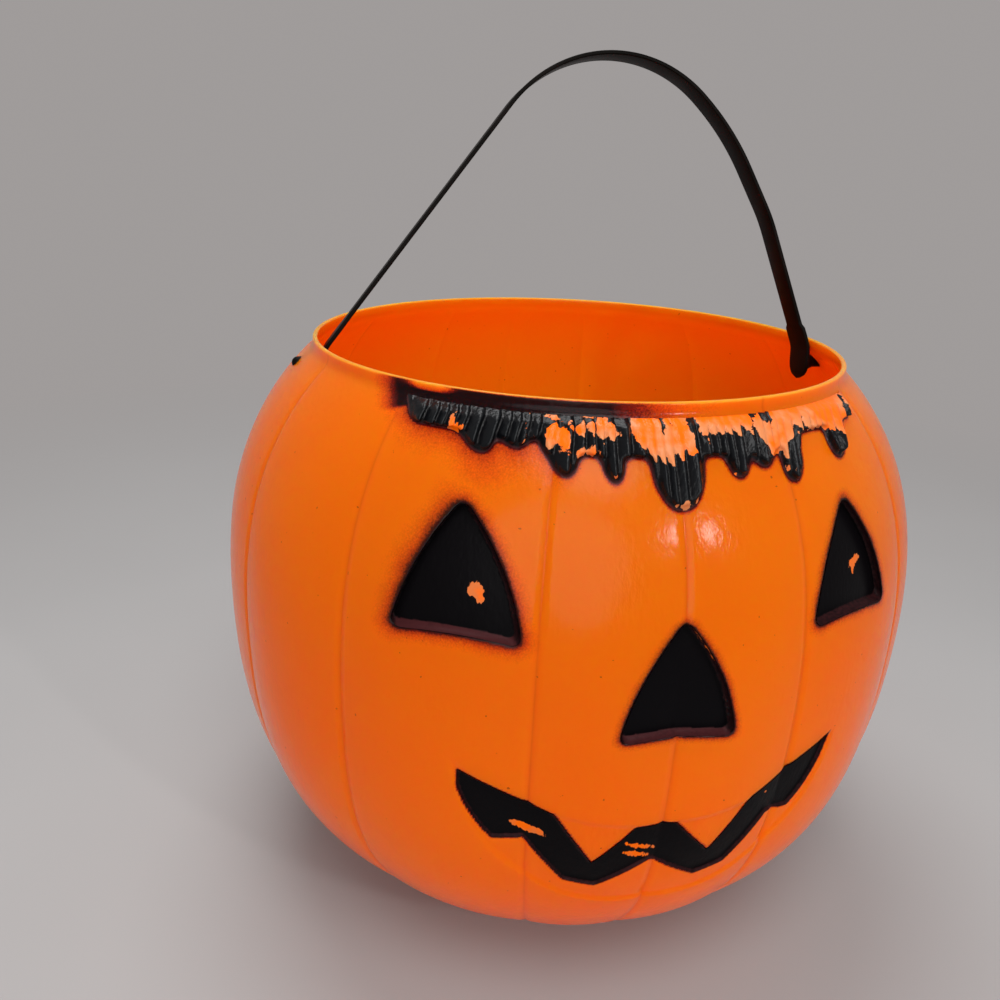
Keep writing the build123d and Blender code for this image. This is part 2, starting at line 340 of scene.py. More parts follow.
def clamped_spline(points, start, end, count):
    """Points along a smooth curve through given points, with given end directions."""
    points = np.array(points, float)
    spans = np.hypot(*np.diff(points, axis=0).T)
    knots = np.concatenate(([0.0], np.cumsum(spans)))
    size = len(points)
    matrix = np.eye(size)
    right = np.zeros((size, 2))
    right[0] = start
    right[-1] = end
    for i in range(1, size - 1):
        before, after = spans[i - 1], spans[i]
        matrix[i, i - 1 : i + 2] = (1 / before, 2 / before + 2 / after, 1 / after)
        right[i] = 3 * ((points[i] - points[i - 1]) / before**2 + (points[i + 1] - points[i]) / after**2)
    slopes = np.linalg.solve(matrix, right)
    places = np.linspace(0.0, knots[-1], count)
    index = np.clip(np.searchsorted(knots, places, side="right") - 1, 0, size - 2)
    span = spans[index][:, None]
    t = (places[:, None] - knots[index][:, None]) / span
    return (
        (2 * t**3 - 3 * t**2 + 1) * points[index]
        + (t**3 - 2 * t**2 + t) * span * slopes[index]
        + (3 * t**2 - 2 * t**3) * points[index + 1]
        + (t**3 - t**2) * span * slopes[index + 1]
    )


def direction(degrees):
    """Unit vector at an angle in degrees."""
    return np.array((cos(radians(degrees)), sin(radians(degrees))))


# Outer section: the spline from the base edge to the foot of the neck, with its normals
neck_foot = (NECK_RADIUS - WALL, NECK_BOTTOM + WALL * tan(radians(SHOULDER_PITCH)))
curve = clamped_spline(PROFILE + (neck_foot,), direction(BASE_FLARE), direction(180 - SHOULDER_PITCH), 1600)
curve_length = np.concatenate(([0.0], np.cumsum(np.hypot(*np.diff(curve, axis=0).T))))
curve_slope = np.gradient(curve, curve_length, axis=0)
curve_normal = np.stack((curve_slope[:, 1], -curve_slope[:, 0]), axis=1)
curve_normal /= np.linalg.norm(curve_normal, axis=1)[:, None]
curve_share = curve_length / curve_length[-1]


def along_curve(lengths, values):
    """Values of the section curve, read at lengths along it."""
    values = np.asarray(values)
    if values.ndim == 1:
        return np.interp(lengths, curve_length, values)
    return np.stack([np.interp(lengths, curve_length, column) for column in values.T], axis=1)


def arc_points(centre, radius, first, last, count):
    """Points on an arc between two angles in degrees."""
    angles = np.radians(np.linspace(first, last, count))
    return np.stack((centre[0] + radius * np.cos(angles), centre[1] + radius * np.sin(angles)), axis=1)


# Lobes
LOBE_MARKS = np.array((0.0, *CREASES, *(180.0 - angle for angle in reversed(CREASES)), 180.0))


def from_front(azimuth):
    """Angle from the front either way round, from 0 to 180 degrees."""
    return np.abs((np.asarray(azimuth) + 180.0) % 360.0 - 180.0)


def crease_share(azimuth):
    """Place across a lobe, from 0 in its middle to 1 at a crease, and the angle to the nearest crease."""
    angle = from_front(azimuth)
    index = np.clip(np.searchsorted(LOBE_MARKS, angle, side="right") - 1, 0, len(LOBE_MARKS) - 2)
    low = LOBE_MARKS[index]
    high = LOBE_MARKS[index + 1]
    return np.abs(2 * (angle - low) / (high - low) - 1), np.minimum(angle - low, high - angle)


def crease_line(azimuth, share, radius):
    """Depth of the narrow valley along each crease."""
    arc = np.radians(crease_share(azimuth)[1]) * radius
    valley = np.maximum(1.0 - arc / VALLEY_WIDTH, 0.0)
    return VALLEY_DEPTH * valley * np.sin(np.pi * np.clip(share, 0.0, 1.0)) ** VALLEY_FADE


def lobe_drop(azimuth, share, radius):
    """How far the lobes fall back from the section, creases and seam included."""
    fade = np.sin(np.pi * np.clip(share, 0.0, 1.0))
    seam_arc = np.radians(np.abs(from_front(azimuth) - SEAM_AZIMUTH)) * radius
    seam = SEAM_HEIGHT * np.exp(-((seam_arc / SEAM_WIDTH) ** 2))
    lobe = CREASE_DEPTH * crease_share(azimuth)[0] ** 2
    return (lobe - seam) * fade + crease_line(azimuth, share, radius)


# Signed distances in front view, in millimetres and negative inside
def side_distance(x, z, start, end, bulge):
    """Distance to an arc that stands a bulge out to the right of its chord, negative to its left."""
    start = np.array(start)
    end = np.array(end)
    chord = end - start
    length = np.hypot(*chord)
    right = np.array((chord[1], -chord[0])) / length
    radius = (length**2 / 4 + bulge**2) / (2 * abs(bulge))
    centre = (start + end) / 2 + right * (bulge - copysign(radius, bulge))
    reach = np.hypot(x - centre[0], z - centre[1]) - radius
    return reach * copysign(1.0, bulge)


def round_max(first, second, rounding):
    """Overlap of two distances, with its corner rounded."""
    outside = np.hypot(np.maximum(first + rounding, 0.0), np.maximum(second + rounding, 0.0))
    return np.minimum(np.maximum(first, second), -rounding) + outside


def smooth_min(first, second, blend):
    """Union of two distances, with a soft web between them."""
    share = np.clip(0.5 + 0.5 * (second - first) / blend, 0.0, 1.0)
    return second + (first - second) * share - blend * share * (1.0 - share)


def triangle(corners, bulges, shift=0.0, facing=1.0):
    """A function for the distance to a rounded triangle with bowed sides, its corners anticlockwise."""

    def distance(x, z):
        along = facing * (x - shift)
        ends = zip(corners, corners[1:] + corners[:1], bulges)
        first, second, third = [side_distance(along, z, *side) for side in ends]
        return round_max(round_max(first, second, CORNER_ROUNDING), third, CORNER_ROUNDING) + TRIM

    return distance


right_eye = triangle(RIGHT_EYE, EYE_BULGES, EYE_SHIFT)
left_eye = triangle(LEFT_EYE, EYE_BULGES, EYE_SHIFT, -1.0)
nose = triangle(NOSE, NOSE_BULGES)


def polygon_distance(x, z, corners):
    """Distance to a closed outline of straight sides."""
    nearest = np.full(np.shape(x), np.inf)
    inside = np.zeros(np.shape(x), bool)
    for (ax, az), (bx, bz) in zip(corners, corners[1:] + corners[:1]):
        dx, dz = bx - ax, bz - az
        t = np.clip(((x - ax) * dx + (z - az) * dz) / (dx * dx + dz * dz), 0.0, 1.0)
        nearest = np.minimum(nearest, np.hypot(x - ax - t * dx, z - az - t * dz))
        if dz:
            crosses = ((az > z) != (bz > z)) & (x < dx * (z - az) / dz + ax)
            inside ^= crosses
    return np.where(inside, -nearest, nearest)


def mouth_outline(parts=6):
    """Corners of the mouth, with each cheek's bow in short pieces."""
    corner = np.array(MOUTH_CORNER)
    chord = np.array(CHEEK) - corner
    outward = np.array((-chord[1], chord[0])) / np.hypot(*chord)
    half = list(TEETH)
    for t in np.linspace(0.0, 1.0, parts + 1):
        half.append(tuple(corner + chord * t + outward * CHEEK_BULGE * 4 * t * (1 - t)))
    half += CHIN
    return half + [(0.0, CHIN_NOTCH)] + [(-x, z) for x, z in reversed(half)]


MOUTH_OUTLINE = mouth_outline()


def turned(x, z, centre_x, centre_z, tilt):
    """Places along and across a tilt in degrees, from its centre."""
    turn = radians(tilt)
    x = x - centre_x
    z = z - centre_z
    return x * cos(turn) + z * sin(turn), z * cos(turn) - x * sin(turn)


def mouth_distance(x, z):
    """Distance to the mouth, which is tilted and has a blunt left tip."""
    along, rise = turned(x, z, MOUTH_SHIFT, LIP_TOP, MOUTH_TILT)
    return np.maximum(polygon_distance(along, LIP_TOP + rise, MOUTH_OUTLINE) + TRIM, MOUTH_BLUNT - x)


def disc_distance(x, z, half_width, corner_height, low_height):
    """Distance to the disc through two level corners and a lowest point."""
    rise = corner_height - low_height
    radius = (half_width**2 + rise**2) / (2 * rise)
    return np.hypot(x, z - low_height - radius) - radius


def lip_distance(x, z):
    """Distance to the moon-shaped lip that the mouth lies in."""
    lower = disc_distance(x - MOUTH_SHIFT, z, *MOUTH_CORNER, LIP_BOTTOM)
    upper = disc_distance(x - MOUTH_SHIFT, z, *MOUTH_CORNER, LIP_TOP)
    return np.maximum(lower, -upper)


def fringe_edge(x, z):
    """Distance to the fringe's lower outline: drips that hang from a band."""
    left, right = FRINGE_ENDS
    low_left, low_right, low = FRINGE_MIDDLE
    edge = round_max(np.maximum(left - x, x - right), FRINGE_SIDE - z, FRINGE_ROUNDING)
    middle = round_max(np.maximum(low_left - x, x - low_right), low - z, FRINGE_ROUNDING)
    edge = smooth_min(edge, middle, DRIP_BLEND)
    for drip_x, tip, width in DRIPS:
        radius = width / 2
        hang = np.maximum((tip - z) / DRIP_TAPER + radius, 0.0)
        edge = smooth_min(edge, np.hypot(x - drip_x, hang) - radius, DRIP_BLEND)
    return edge


def fringe_distance(x, z):
    """Distance to the whole fringe, with its straight top edge."""
    return np.maximum(fringe_edge(x, z), z - FRINGE_TOP)


# Wear of the paint, in millimetres and positive where it is gone
def ellipse_field(x, z, centre_x, centre_z, half_width, half_height, tilt=0.0):
    """How far inside a tilted ellipse a point is."""
    along, across = turned(x, z, centre_x, centre_z, tilt)
    reach = np.hypot(along / half_width, across / half_height)
    return (1.0 - reach) * min(half_width, half_height)


def chip_field(x, z):
    """How far inside a chip of the face a point is."""
    return np.max([ellipse_field(x, z, *chip) for chip in CHIPS], axis=0)


def strand_ridge(x, z):
    """Height across the strands, from 0 in a groove to 1 on a crest, which stands to one side."""
    fall = FRINGE_TOP - z
    comb = x + np.interp(x, *STRAND_LEAN) * fall * (1.0 - fall / STRAND_CURL)
    wander, rate, start = STRAND_WANDER
    place = comb / STRAND_SPACING + wander * np.sin(comb * rate + start)
    place = place - np.floor(place)
    return np.minimum(place / STRAND_CREST, (1.0 - place) / (1.0 - STRAND_CREST)) ** STRAND_PROFILE


def rub_field(x, z):
    """How far inside a rubbed part of the fringe a point is; ridges are rubbed before grooves."""
    edge_x, edge_z = np.array(RUBBED_EDGE).T
    field = np.minimum(z - np.interp(x, edge_x, edge_z), (x - edge_x[0]) * RUBBED_SIDE)
    for patch in RUBBED_PATCHES:
        field = np.maximum(field, ellipse_field(x, z, *patch))
    for patch in PAINTED_PATCHES:
        field = np.minimum(field, -ellipse_field(x, z, *patch))
    return field + RIDGE_WEAR * (strand_ridge(x, z) - RIDGE_WORN_FROM)


# Relief over the lobes
def below_top(z, least):
    """Share that grows from a least value at the fringe's top to 1 below it."""
    return least + (1.0 - least) * below(z, FRINGE_TOP, FRINGE_TOP_FADE)


def pad_height(x, z, inset=0.0):
    """Height of the fringe over the lobes without its strands, as a share."""
    return below(fringe_edge(x, z), -inset, PAD_EDGE) * below_top(z, PAD_TOP_SHARE)


def hair_height(x, z):
    """Height of the painted fringe over the lobes: a soft-edged pad with strands combed down it."""
    strands = below(fringe_edge(x, z), *STRAND_EDGE) * below_top(z, STRAND_TOP_SHARE)
    strands = strands * (1.0 - WORN_FLATNESS * above(rub_field(x, z), *WORN))
    return pad_height(x, z) * HAIR_RELIEF + strands * STRAND_RELIEF * (strand_ridge(x, z) - 0.5)


FEATURES = (
    (right_eye, RECESS_DEPTH),
    (left_eye, RECESS_DEPTH),
    (nose, RECESS_DEPTH),
    (mouth_distance, MOUTH_DEPTH),
)


def recess(distance, edge):
    """Share of a recess's depth at a distance from its outline."""
    return below(distance, edge, 2 * edge)


def face_depth(x, z, shrink=0.0):
    """Depth of the moulded face below the lobes, with its outlines shrunk by a length."""
    depth = LIP_DEPTH * recess(lip_distance(x, z) + shrink, LIP_EDGE)
    for distance, full in FEATURES:
        depth = np.maximum(depth, full * recess(distance(x, z) + shrink, EDGE))
    return depth


def floor_rise(x, z):
    """Height of a recess's paint over the lobes, below them and so negative."""
    return -face_depth(x, z, SKIN_INSET)


def floor_share(x, z):
    """1 on the floors of the recesses and 0 off them."""
    share = np.zeros_like(x)
    for distance, _ in FEATURES:
        share = np.maximum(share, recess(distance(x, z), EDGE))
    return share


# Meshes
def snap(x, z, distance, middle, half, near, passes=5, small=0.01, least_slope=0.3):
    """Draw places near a shape's edge onto the closer of two lines along it, and tell which moved."""
    start = distance(x, z) - middle
    moved = np.abs(start) < near
    target = middle + np.where(start < 0.0, -half, half)
    px, pz, aim = x[moved], z[moved], target[moved]
    for _ in range(passes):
        gap = distance(px, pz) - aim
        gx = (distance(px + small, pz) - distance(px - small, pz)) / (2 * small)
        gz = (distance(px, pz + small) - distance(px, pz - small)) / (2 * small)
        size = np.maximum(gx * gx + gz * gz, least_slope)
        px = px - gap * gx / size
        pz = pz - gap * gz / size
    x = x.copy()
    z = z.copy()
    x[moved] = px
    z[moved] = pz
    return x, z, moved


def lobed_point(azimuth, lengths, inset=0.0):
    """Points of the lobed form, and how squarely it faces the front there."""
    section = along_curve(lengths, curve)
    normal = along_curve(lengths, curve_normal)
    share = along_curve(lengths, curve_share)
    radius = section[:, 0] - inset * normal[:, 0]
    height = section[:, 1] - inset * normal[:, 1]
    radius = radius - lobe_drop(azimuth, share, radius)
    turn = np.radians(azimuth)
    points = np.stack((radius * np.sin(turn), -radius * np.cos(turn), height), axis=1)
    return points, np.maximum(normal[:, 0] * np.cos(turn), LEAST_FACING)


def front_point(x, z, passes=12, limit=0.98):
    """Points of the lobed form in front view, how squarely it faces the front, and its creases' depth."""
    lengths = np.interp(z, curve[:, 1], curve_length)
    azimuth = np.zeros_like(x)
    for _ in range(passes):
        points, facing = lobed_point(azimuth, lengths)
        radius = np.hypot(points[:, 0], points[:, 1])
        azimuth = np.degrees(np.arcsin(np.clip(x / radius, -limit, limit)))
    points, facing = lobed_point(azimuth, lengths)
    line = crease_line(azimuth, along_curve(lengths, curve_share), radius)
    return points, facing, line


def columns():
    """Azimuths of the shell's columns, close together over the face and at each crease."""
    marks = np.concatenate((LOBE_MARKS[:-1] - 180.0, LOBE_MARKS))
    close = np.array(CREASE_COLUMNS)
    reach = close[-1] + CREASE_COLUMN_GAP
    turns = []
    for low, high in zip(marks, marks[1:]):
        step = FACE_STEP if abs(low + high) / 2 < CREASES[1] else PLAIN_STEP
        between = np.linspace(low + reach, high - reach, max(LEAST_COLUMNS, round((high - low) / step)))
        turns += [low + close, between, high - close[:0:-1]]
    return np.concatenate(turns)


def curve_stops(fine_from, end, fine, coarse):
    """Lengths along the section curve, spaced finely above a height."""
    change = np.interp(fine_from, curve[:, 1], curve_length)
    low = np.linspace(0.0, change, max(2, round(change / coarse)), endpoint=False)
    high = np.linspace(change, end, round((end - change) / fine))
    return np.concatenate((low, high))


def add_object(name, data):
    """A new object in the scene."""
    added = bpy.data.objects.new(name, data)
    bpy.context.scene.collection.objects.link(added)
    return added


def add_mesh(name, points, faces, material):
    """A new mesh object from points in metres."""
    mesh = bpy.data.meshes.new(name)
    mesh.from_pydata(points.tolist(), [], [list(map(int, face)) for face in faces])
    mesh.update()
    mesh.materials.append(material)
    return add_object(name, mesh)


def add_piece(name, points, faces, body, material, values=None):
    """A smooth piece of the part from points in millimetres, with named values on its points."""
    piece = add_mesh(name, points * MM, faces, material)
    piece.data.shade_smooth()
    for key, numbers in (values or {}).items():
        layer = piece.data.attributes.new(key, "FLOAT", "POINT")
        layer.data.foreach_set("value", np.asarray(numbers, np.float32))
    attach(piece, body)
    return piece


def ring_faces(rows, count):
    """Quads that join rows of points round a closed ring."""
    row = np.arange(rows - 1)[:, None] * count
    here = np.arange(count)[None, :]
    after = (here + 1) % count
    quads = np.stack((row + here, row + after, row + count + after, row + count + here), axis=-1)
    return quads.reshape(-1, 4)


# Stray paint: each shape, the reach of its halo and how much further the heavy part reaches
HALOS = (
    (right_eye, 1.2, 0.0),
    (left_eye, 1.8, 0.4),
    (nose, 1.0, 0.0),
    (mouth_distance, 0.3, 0.0),
)


def face_spray(x, z):
    """Stray paint round the eyes, nose and mouth, from 0 to 1."""
    heavy = below(x, *HEAVY_LEFT) * above(z, *HEAVY_FOOT)
    density = np.zeros_like(x)
    for distance, reach, more in HALOS:
        beyond = np.maximum(distance(x, z) - EDGE, 0.0)
        density = np.maximum(density, np.exp(-beyond / (reach * (1.0 + more * heavy))))
    return density


def fringe_spray(x, z):
    """Stray paint below and beside the fringe, from 0 to 1."""
    beyond = fringe_distance(x, z)
    left = below(x, *DUST_LEFT)
    reach = DUST_REACH[0] + DUST_REACH[1] * left
    dust = (DUST[0] + DUST[1] * left) * np.exp(-np.maximum(beyond - DUST_START, 0.0) / reach)
    return np.maximum(dust, below(beyond, *LINE)) * below(z, *DUST_TOP)


def band_spray(x, z):
    """Stray paint on the shoulder and neck above the fringe, from 0 to 1."""
    band = above(z, np.interp(x, *BAND_FOOT), BAND_FOOT_FADE) * below(z, *BAND_TOP)
    band = band * above(x, *BAND_LEFT) * np.interp(x, *BAND_STRENGTH)
    flake_x = (x - BAND_FLAKE[0]) / BAND_FLAKE_SIZE[0]
    flake_z = (z - BAND_FLAKE[1]) / BAND_FLAKE_SIZE[1]
    return band * (1.0 - smooth(BAND_FLAKE_EDGE - np.hypot(flake_x, flake_z)))


def spray_density(x, z):
    """How much stray paint lies on the front of the shell, from 0 to 1."""
    return np.maximum(np.maximum(face_spray(x, z), fringe_spray(x, z)), band_spray(x, z))


# Shell
def turned_rows(section, azimuth):
    """Rows of points round the axis, from radii and heights."""
    section = np.asarray(section)
    radius = np.repeat(section[:, 0], len(azimuth))
    height = np.repeat(section[:, 1], len(azimuth))
    turns = np.tile(np.radians(azimuth), len(section))
    return np.stack((radius * np.sin(turns), -radius * np.cos(turns), height), axis=1)


def lobed_rows(lengths, azimuth, inset):
    """Rows of the lobed form, how squarely each point faces the front, and which lie near the face."""
    turns = np.tile(azimuth, len(lengths))
    points, facing = lobed_point(turns, np.repeat(lengths, len(azimuth)), inset)
    return points, facing, np.abs(turns) < FACE_REACH


def under_section():
    """Underside: the dish, its wall and the flat ring."""
    return [
        (POLE_RADIUS, DISH_DEPTH),
        (DISH_MIDDLE, DISH_DEPTH),
        (DISH_TOP_RADIUS - DISH_TOP_EASE[0], DISH_DEPTH),
        (DISH_TOP_RADIUS, DISH_DEPTH - DISH_TOP_EASE[1]),
        (DISH_RADIUS, DISH_FOOT_EASE[1]),
        (DISH_RADIUS + DISH_FOOT_EASE[0], 0.0),
        (PROFILE[0][0] - BASE_EASE, 0.0),
    ]


def neck_section(start):
    """Neck and lip, from the shoulder's end over the rim and down to the inside."""
    knee = np.array((NECK_RADIUS, start[1] + NECK_FILLET * tan(radians(SHOULDER_PITCH))))
    top = np.array((NECK_RADIUS, knee[1] + NECK_FILLET))
    t = np.linspace(0.0, 1.0, 7)[1:, None]
    fillet = (1 - t) ** 2 * start + 2 * t * (1 - t) * knee + t**2 * top
    lip_height = RIM_HEIGHT - LIP_ROUNDING
    inner_radius = NECK_RADIUS - WALL
    outer_lip = arc_points((NECK_RADIUS - LIP_ROUNDING, lip_height), LIP_ROUNDING, 0, 90, 6)
    inner_lip = arc_points((inner_radius + LIP_ROUNDING, lip_height), LIP_ROUNDING, 90, 180, 6)
    foot = [(inner_radius, NECK_BOTTOM + rise) for rise in LIP_FOOT]
    return np.concatenate((fillet, outer_lip, inner_lip, foot))


def floor_section():
    """Floor inside the pail, over the ring and the dish."""
    edge = along_curve(np.array([0.0]), curve - WALL * curve_normal)[0]
    return [
        (edge[0] - WALL, WALL),
        (DISH_RADIUS + WALL, WALL),
        (DISH_TOP_RADIUS + WALL, DISH_DEPTH + WALL),
        (DISH_MIDDLE, DISH_DEPTH + WALL),
        (POLE_RADIUS, DISH_DEPTH + WALL),
    ]


def press_face(points, facing):
    """Outside points with the face pressed in, the fringe raised, and those near an edge drawn onto it."""
    x = points[:, 0].copy()
    z = points[:, 2].copy()
    free = np.ones(len(x), bool)
    for distance, _ in FEATURES:
        new_x, new_z, moved = snap(x, z, distance, 0.0, EDGE, SNAP_REACH)
        moved &= free
        x[moved] = new_x[moved]
        z[moved] = new_z[moved]
        free &= ~moved
    drawn = ~free
    points[drawn], facing[drawn], _ = front_point(x[drawn], z[drawn])
    azimuth = np.degrees(np.arctan2(points[:, 0], -points[:, 1]))
    line = crease_line(azimuth, FACE_SHARE, np.hypot(points[:, 0], points[:, 1]))
    raised = pad_height(x, z, PAD_INSET) * (HAIR_RELIEF - PAD_SINK)
    depth = face_depth(x, z) - line * floor_share(x, z) - raised
    points[:, 1] += depth / facing
    return points


def build_shell(material):
    """The blow-moulded shell: one closed skin up its outside, over the lip and down inside."""
    azimuth = columns()
    count = len(azimuth)
    narrow = (curve[:, 0] < NECK_RADIUS + NECK_FILLET) & (curve[:, 1] > PROFILE[3][1])
    end = curve_length[np.argmax(narrow)]
    under = turned_rows(under_section(), azimuth)
    outside, facing, front = lobed_rows(curve_stops(FACE_BOTTOM, end, FACE_ROW, PLAIN_ROW), azimuth, 0.0)
    outside[front] = press_face(outside[front], facing[front])
    neck = turned_rows(neck_section(along_curve(np.array([end]), curve)[0]), azimuth)

    # The inner wall stands in behind each recess
    stops = np.linspace(end, 0.0, INSIDE_ROWS)
    inside, facing, front = lobed_rows(stops[stops > INSIDE_END], azimuth, WALL)
    back = face_depth(inside[front, 0], inside[front, 2], -WALL)
    inside[front, 1] += back / facing[front]
    inside[:, 2] = np.maximum(inside[:, 2], WALL)

    points = np.concatenate((under, outside, neck, inside, turned_rows(floor_section(), azimuth)))
    first = len(under)
    last = first + len(outside) + SPRAYED_NECK_ROWS * count
    around = np.tile(azimuth, len(points) // count)
    sprayed = np.abs(around) < FACE_REACH
    sprayed[:first] = False
    sprayed[last:] = False
    spray = np.zeros(len(points))
    spray[sprayed] = spray_density(points[sprayed, 0], points[sprayed, 2])
    # Painted highlight: a paler orange along the top of the lip
    rim = np.clip((points[:, 2] - (RIM_HEIGHT - RIM_HIGHLIGHT_DEPTH)) / RIM_HIGHLIGHT_FADE, 0.0, 1.0)
    # Inside points get the painted light of a brighter orange
    inner = np.zeros(len(points))
    inner[first + len(outside) + len(neck) :] = 1.0
    # Painted shade: a darker colour along the bottom of each crease's valley
    valley = crease_line(around, MIDDLE_SHARE, np.hypot(points[:, 0], points[:, 1]))
    painted_crease_shade = (valley / VALLEY_DEPTH) ** CREASE_SHADE_POWER
    painted_crease_shade[last:] = 0.0
    values = {"spray": spray, "rim": rim, "painted_crease_shade": painted_crease_shade, "inner": inner}
    faces = ring_faces(len(points) // count, count)
    caps = [list(range(count)), list(range(len(points) - count, len(points)))[::-1]]
    shell = add_piece("shell", points, [*faces.tolist(), *caps], "pail", material, values)
    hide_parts("pail_shell")


# Coats of paint
def floor_film(distance, thinning):
    """How thick the paint is: full on a recess's floor, less on its walls and least on its bottom wall."""

    def film(x, z):
        floor = below(distance(x, z), -SKIN_INSET - FILM_START, FILM_FADE)
        downward = (distance(x, z - FILM_STEP) - distance(x, z + FILM_STEP)) / (2 * FILM_STEP)
        return np.maximum(floor, FILM_ON_WALLS - thinning * above(downward, *FILM_THIN))

    return film


def hair_film(x, z):
    """How thick the fringe's paint is: thin at its edge."""
    return below(fringe_edge(x, z), 0.0, HAIR_FILM_FADE)


def build_skin(name, node, distance, box, step, rise, edge_lines, material, values):
    """A coat of paint inside one outline in front view, raised over the lobes by a given height."""
    low_x, low_z, high_x, high_z = box
    x, z = np.meshgrid(np.arange(low_x, high_x, step), np.arange(low_z, high_z, step * SKIN_ROW))
    x = (x + (np.arange(x.shape[0]) % 2)[:, None] * step / 2).ravel()
    z = z.ravel()
    middle, half = edge_lines
    x, z, _ = snap(x, z, distance, middle, half, half + 0.5 * step)
    border = middle + half
    keep = distance(x, z) < border + SKIN_SLACK
    flat = [Vector(place) for place in zip(x[keep], z[keep])]
    corners, _, triangles, _, _, _ = delaunay_2d_cdt(flat, [], [], 0, SKIN_MERGE)
    corners = np.array([tuple(corner) for corner in corners])
    triangles = np.array([tuple(face) for face in triangles])
    centre = corners[triangles].mean(axis=1)
    triangles = triangles[distance(centre[:, 0], centre[:, 1]) < border - SKIN_TRIM]
    used, faces = np.unique(triangles, return_inverse=True)
    faces = faces.reshape(-1, 3)
    x = corners[used, 0]
    z = corners[used, 1]
    points, facing, line = front_point(x, z)
    points[:, 0] = x
    points[:, 2] = z
    points[:, 1] -= (rise(x, z) + line * floor_share(x, z) + SKIN_LIFT) / facing
    normal = np.cross(points[faces[:, 1]] - points[faces[:, 0]], points[faces[:, 2]] - points[faces[:, 0]])
    faces = np.where((normal[:, 1] > 0)[:, None], faces[:, ::-1], faces)
    numbers = {key: value(x, z) for key, value in values.items()}
    piece = add_piece(name, points, faces, "pail", material, numbers)
    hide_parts(node)


# Each face shape's coat: its outline, a box round it and how much its bottom wall is thinned
COATS = (
    ("left_eye", left_eye, (-69.0, 121.0, -34.0, 158.0), 0.6),
    ("right_eye", right_eye, (33.0, 121.0, 67.0, 158.0), 0.1),
    ("nose", nose, (-18.0, 98.0, 18.0, 135.0), 0.5),
    ("mouth", mouth_distance, (-55.0, 51.0, 51.0, 95.0), 0.1),
)
HAIR_BOX = (-63.0, 153.0, 63.0, 175.0)


def build_coats(face_paint, hair_paint):
    """The coats of paint on the eyes, nose, mouth and fringe."""
    lines = (-SKIN_INSET, EDGE)
    for label, distance, box, thinning in COATS:
        name, node = f"{label}_coat", f"{label}_paint"
        fields = {"chip": chip_field, "film": floor_film(distance, thinning)}
        build_skin(name, node, distance, box, SKIN_STEP, floor_rise, lines, face_paint, fields)
    name, node = "hair_coat", "hair_paint"
    # ridge also sets the painted highlight on the strands' crests
    fields = {"rub": rub_field, "film": hair_film, "ridge": strand_ridge}
    build_skin(name, node, fringe_distance, HAIR_BOX, HAIR_STEP, hair_height, HAIR_EDGE, hair_paint, fields)


# Handle strap
def rounded_route(points, roundings, step=1.2):
    """Points along straight runs with rounded corners."""
    points = [np.array(point, float) for point in points]
    route = [points[0]]
    for before, corner, after, radius in zip(points, points[1:], points[2:], roundings):
        back = (before - corner) / np.linalg.norm(before - corner)
        ahead = (after - corner) / np.linalg.norm(after - corner)
        half = acos(np.clip(np.dot(back, ahead), -1, 1)) / 2
        reach = radius / tan(half)
        centre = corner + (back + ahead) / np.linalg.norm(back + ahead) * radius / sin(half)
        start = corner + back * reach
        angle = pi - 2 * half
        turning = copysign(1.0, back[1] * ahead[0] - back[0] * ahead[1])
        arm = start - centre
        aside = turning * np.array((-arm[1], arm[0]))
        for turn in np.linspace(0.0, angle, max(6, round(radius * angle / step))):
            route.append(centre + arm * cos(turn) + aside * sin(turn))
    route.append(points[-1])
    dense = [route[0]]
    for here, there in zip(route, route[1:]):
        parts = max(1, round(np.linalg.norm(there - here) / step))
        dense += [here + (there - here) * k / parts for k in range(1, parts + 1)]
    return np.array(dense)


def strap_half_width(rise):
    """Half the strap's width at a rise above the pivots: wider on the tabs, which have round ends."""
    step = below(rise, TAB_RISE + TAB_STEP / 2, TAB_STEP)
    half = STRAP_WIDTH / 2 + (TAB_WIDTH - STRAP_WIDTH) / 2 * step
    round_end = np.sqrt(np.maximum((TAB_WIDTH / 2) ** 2 - np.minimum(rise, 0.0) ** 2, TAB_TIP**2))
    return np.where(rise < 0.0, np.minimum(half, round_end), half)


def strap_corners():
    """The strap's rounded section: signs across and through it, and places on its corners' arcs."""
    corners = []
    for sign_across, sign_thick, first in ((1, 1, 0), (-1, 1, 90), (-1, -1, 180), (1, -1, 270)):
        for angle in np.radians(np.linspace(first, first + 90, 4)):
            arc = (STRAP_EDGE * cos(angle), STRAP_EDGE * sin(angle))
            corners.append((sign_across, sign_thick, *arc))
    return corners


def strap_point(x, rise, across):
    """A point of the leaning strap, from its place along X, its rise and its place across the strap."""
    lean = radians(STRAP_LEAN)
    y = rise * sin(lean) - across * cos(lean)
    return (x, y, PIVOT_HEIGHT + rise * cos(lean) + across * sin(lean))


def stud_profile():
    """Places along X and radii of a stud, from inside its tab to the tip of its dome."""
    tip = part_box("handle_strap")[1].x / MM
    dome = tip - STUD_SINK - STUD_RADIUS
    profile = [
        (TAB_X, STUD_CORE),
        (TAB_X, BOSS_RADIUS - BOSS_EASE[1]),
        (TAB_X + BOSS_EASE[0], BOSS_RADIUS),
        (TAB_X + STRAP_THICKNESS / 2 + BOSS_RISE, BOSS_RADIUS),
        (dome - STUD_FOOT[0], STUD_RADIUS + STUD_FOOT[1]),
        (dome - STUD_STRAIGHT, STUD_RADIUS),
    ]
    for angle in np.radians(np.linspace(0.0, 89.0, 8)):
        profile.append((dome + STUD_RADIUS * sin(angle), STUD_RADIUS * cos(angle)))
    return profile


